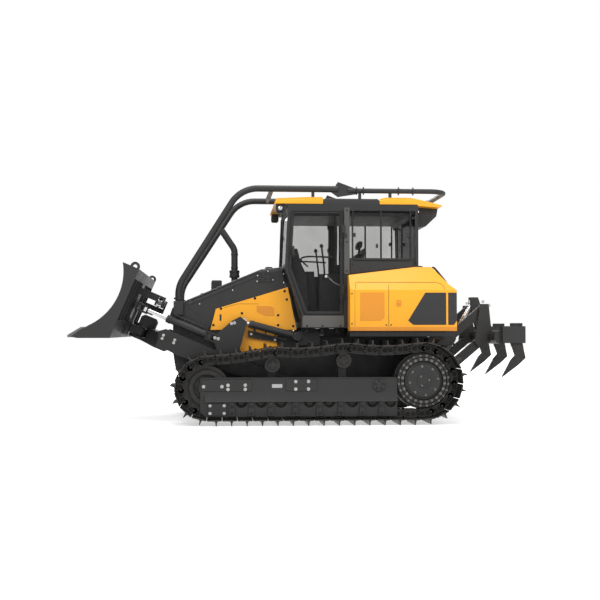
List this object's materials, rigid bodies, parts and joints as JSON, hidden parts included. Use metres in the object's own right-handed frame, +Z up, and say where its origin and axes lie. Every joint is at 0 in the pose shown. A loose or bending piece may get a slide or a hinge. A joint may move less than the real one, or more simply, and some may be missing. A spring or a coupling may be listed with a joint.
{
  "type": "bulldozer",
  "caption": "Crawler bulldozer with a power-angle-tilt blade, enclosed cab, forestry sweeps and a rear parallelogram ripper; blade, ripper, doors and hydraulic cylinders move.",
  "frame": {"origin": "on the ground, midway between the blade's front edge and the ripper's rearmost point, on the machine's centre line", "axes": "+X forward to the blade, +Y to the operator's left, +Z up"},
  "size_m": [5.7359, 3.2, 3.103],
  "materials": {
    "yellow_paint": "satin",
    "charcoal_paint": "satin",
    "grey_paint": "satin",
    "wear_steel": "worn",
    "track_steel": "matt",
    "chrome": "polished",
    "tinted_glass": "clear",
    "seat_fabric": "matt",
    "dark_plastic": "matt"
  },
  "bodies": {
    "machine": {"main_frame": "charcoal_paint", "deck": "charcoal_paint", "engine_block": "track_steel", "hood": "charcoal_paint", "side_panels": "yellow_paint", "nose_guard": "charcoal_paint", "exhaust_stack": "charcoal_paint", "cab_frame": "grey_paint", "cab_glass": "tinted_glass", "cab_roof": "charcoal_paint", "roof_covers": "yellow_paint", "rear_pod": "charcoal_paint", "seat": "seat_fabric", "console": "dark_plastic", "sweeps": "charcoal_paint", "rear_body": "yellow_paint", "track_left": "track_steel", "track_right": "track_steel", "track_frame_left": "charcoal_paint", "track_frame_right": "charcoal_paint", "idlers": "track_steel", "sprockets": "track_steel", "track_rollers": "track_steel", "carrier_rollers": "track_steel", "ripper_mount": "charcoal_paint", "front_lamps": "dark_plastic"},
    "door_left": {"door_left": "grey_paint", "door_glass_left": "tinted_glass"},
    "door_right": {"door_right": "grey_paint", "door_glass_right": "tinted_glass"},
    "push_frame": {"push_frame": "charcoal_paint"},
    "blade_trunnion": {"blade_trunnion": "charcoal_paint"},
    "blade": {"blade": "charcoal_paint", "cutting_edge": "wear_steel"},
    "lift_barrel_left": {"lift_barrel_left": "charcoal_paint"},
    "lift_rod_left": {"lift_rod_left": "chrome"},
    "lift_barrel_right": {"lift_barrel_right": "charcoal_paint"},
    "lift_rod_right": {"lift_rod_right": "chrome"},
    "angle_barrel_left": {"angle_barrel_left": "charcoal_paint"},
    "angle_rod_left": {"angle_rod_left": "chrome"},
    "angle_barrel_right": {"angle_barrel_right": "charcoal_paint"},
    "angle_rod_right": {"angle_rod_right": "chrome"},
    "tilt_barrel": {"tilt_barrel": "charcoal_paint"},
    "ripper_barrel": {"ripper_barrel": "charcoal_paint"},
    "tilt_rod": {"tilt_rod": "chrome"},
    "ripper_rod": {"ripper_rod": "chrome"},
    "ripper_upper_link": {"ripper_upper_link": "charcoal_paint"},
    "ripper_lower_link": {"ripper_lower_link": "charcoal_paint"},
    "ripper_frame": {"ripper_frame": "charcoal_paint", "ripper_shanks": "wear_steel"}
  },
  "joints": [
    {"name": "blade_lift", "type": "hinge", "parent": "machine", "child": "push_frame", "pos_m": [0.175, 0, 0.48], "axis": [0, 1, 0], "range_deg": [0, 33]},
    {"name": "blade_angle", "type": "hinge", "parent": "push_frame", "child": "blade_trunnion", "pos_m": [2.125, 0, 1.16], "axis": [-0.3891, 0, 0.9212], "range_deg": [-25, 25]},
    {"name": "blade_tilt", "type": "hinge", "parent": "blade_trunnion", "child": "blade", "pos_m": [2.125, 0, 1.16], "axis": [0.9212, 0, 0.3891], "range_deg": [-10, 10]},
    {"name": "lift_barrel_left_swing", "type": "hinge", "parent": "machine", "child": "lift_barrel_left", "pos_m": [0.069, 0.605, 1.098], "axis": [0, 1, 0], "range_deg": [0, 31]},
    {"name": "lift_rod_left_stroke", "type": "slide", "parent": "lift_barrel_left", "child": "lift_rod_left", "axis": [0.9672, 0, 0.2542], "range_m": [0, 0.358]},
    {"name": "angle_barrel_left_swing", "type": "hinge", "parent": "push_frame", "child": "angle_barrel_left", "pos_m": [1.19621, 0.605, 1.09984], "axis": [-0.3891, 0, 0.9212], "range_deg": [-2, 2]},
    {"name": "angle_rod_left_stroke", "type": "slide", "parent": "angle_barrel_left", "child": "angle_rod_left", "axis": [0.9195, -0.0604, 0.3884], "range_m": [-0.236, 0.236]},
    {"name": "lift_barrel_right_swing", "type": "hinge", "parent": "machine", "child": "lift_barrel_right", "pos_m": [0.069, -0.605, 1.098], "axis": [0, 1, 0], "range_deg": [0, 31]},
    {"name": "lift_rod_right_stroke", "type": "slide", "parent": "lift_barrel_right", "child": "lift_rod_right", "axis": [0.9672, 0, 0.2542], "range_m": [0, 0.358]},
    {"name": "angle_barrel_right_swing", "type": "hinge", "parent": "push_frame", "child": "angle_barrel_right", "pos_m": [1.19621, -0.605, 1.09984], "axis": [-0.3891, 0, 0.9212], "range_deg": [-2, 2]},
    {"name": "angle_rod_right_stroke", "type": "slide", "parent": "angle_barrel_right", "child": "angle_rod_right", "axis": [0.9195, 0.0604, 0.3884], "range_m": [-0.236, 0.236]},
    {"name": "tilt_barrel_swing", "type": "hinge", "parent": "blade_trunnion", "child": "tilt_barrel", "pos_m": [1.85253, -0.36, 1.53775], "axis": [0.9212, 0, 0.3891], "range_deg": [-6, 6]},
    {"name": "tilt_rod_stroke", "type": "slide", "parent": "tilt_barrel", "child": "tilt_rod", "axis": [0, 1, 0], "range_m": [-0.08, 0.08]},
    {"name": "ripper_lift", "type": "hinge", "parent": "machine", "child": "ripper_upper_link", "pos_m": [-1.816, 0, 0.955], "axis": [0, -1, 0], "range_deg": [0, 70]},
    {"name": "ripper_frame_swing", "type": "hinge", "parent": "ripper_upper_link", "child": "ripper_frame", "pos_m": [-2.42884, 0, 1.46923], "axis": [0, -1, 0], "range_deg": [-70, 0]},
    {"name": "ripper_lower_link_swing", "type": "hinge", "parent": "machine", "child": "ripper_lower_link", "pos_m": [-1.744, 0, 0.497], "axis": [0, -1, 0], "range_deg": [0, 70]},
    {"name": "ripper_barrel_swing", "type": "hinge", "parent": "machine", "child": "ripper_barrel", "pos_m": [-1.79, 0, 0.56], "axis": [0, -1, 0], "range_deg": [0, 50]},
    {"name": "ripper_rod_stroke", "type": "slide", "parent": "ripper_barrel", "child": "ripper_rod", "axis": [-0.5151, 0, 0.8571], "range_m": [-0.465, 0]},
    {"name": "door_left_swing", "type": "hinge", "parent": "machine", "child": "door_left", "pos_m": [-0.52, 0.774, 1.7], "axis": [0, 0, 1], "range_deg": [0, 90]},
    {"name": "door_right_swing", "type": "hinge", "parent": "machine", "child": "door_right", "pos_m": [-0.52, -0.774, 1.7], "axis": [0, 0, -1], "range_deg": [0, 90]}
  ],
  "couplings": [
    {"joint": "lift_barrel_left_swing", "follows": "blade_lift", "ratio": 0.9117},
    {"joint": "lift_rod_left_stroke", "follows": "blade_lift", "m_per_rad": 0.6154},
    {"joint": "angle_barrel_left_swing", "follows": "blade_angle", "ratio": -0.0312},
    {"joint": "angle_rod_left_stroke", "follows": "blade_angle", "m_per_rad": -0.5365},
    {"joint": "lift_barrel_right_swing", "follows": "blade_lift", "ratio": 0.9117},
    {"joint": "lift_rod_right_stroke", "follows": "blade_lift", "m_per_rad": 0.6154},
    {"joint": "angle_barrel_right_swing", "follows": "blade_angle", "ratio": -0.0312},
    {"joint": "angle_rod_right_stroke", "follows": "blade_angle", "m_per_rad": 0.5365},
    {"joint": "tilt_barrel_swing", "follows": "blade_tilt", "ratio": 0.5},
    {"joint": "tilt_rod_stroke", "follows": "blade_tilt", "m_per_rad": -0.4535},
    {"joint": "ripper_frame_swing", "follows": "ripper_lift", "ratio": -1},
    {"joint": "ripper_lower_link_swing", "follows": "ripper_lift", "ratio": 1},
    {"joint": "ripper_barrel_swing", "follows": "ripper_lift", "ratio": 0.6976},
    {"joint": "ripper_rod_stroke", "follows": "ripper_lift", "m_per_rad": -0.3751}
  ]
}
